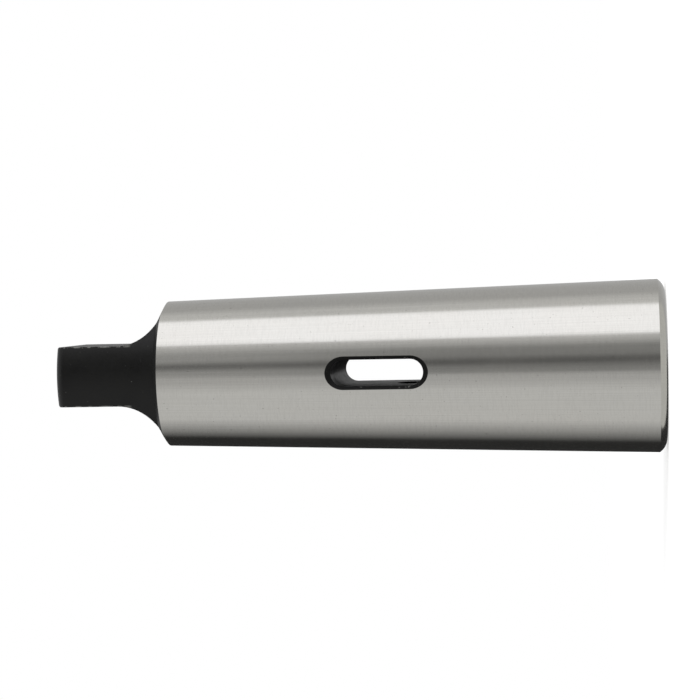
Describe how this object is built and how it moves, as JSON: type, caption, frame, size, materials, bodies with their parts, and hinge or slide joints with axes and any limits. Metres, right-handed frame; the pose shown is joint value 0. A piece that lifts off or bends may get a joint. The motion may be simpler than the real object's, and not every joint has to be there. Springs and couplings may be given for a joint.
{
  "type": "morse taper sleeve",
  "caption": "Hardened steel reducing sleeve with a ground taper outside, a smaller taper socket inside, a flat blackened driving tang and a drift slot through its side.",
  "frame": {"origin": "on the axis, at the centre of the large end's face, which the sleeve stands on", "axes": "+Z along the axis towards the tang; the tang's flats face +X and -X, and the drift slot runs through along Y"},
  "size_m": [0.0446, 0.0446, 0.156],
  "materials": {
    "ground_steel": "ground bright on the cone, the socket and the rim, black oxide on the tang and in the drift slot"
  },
  "bodies": {
    "root": {"taper_sleeve": "ground_steel"}
  },
  "joints": []
}
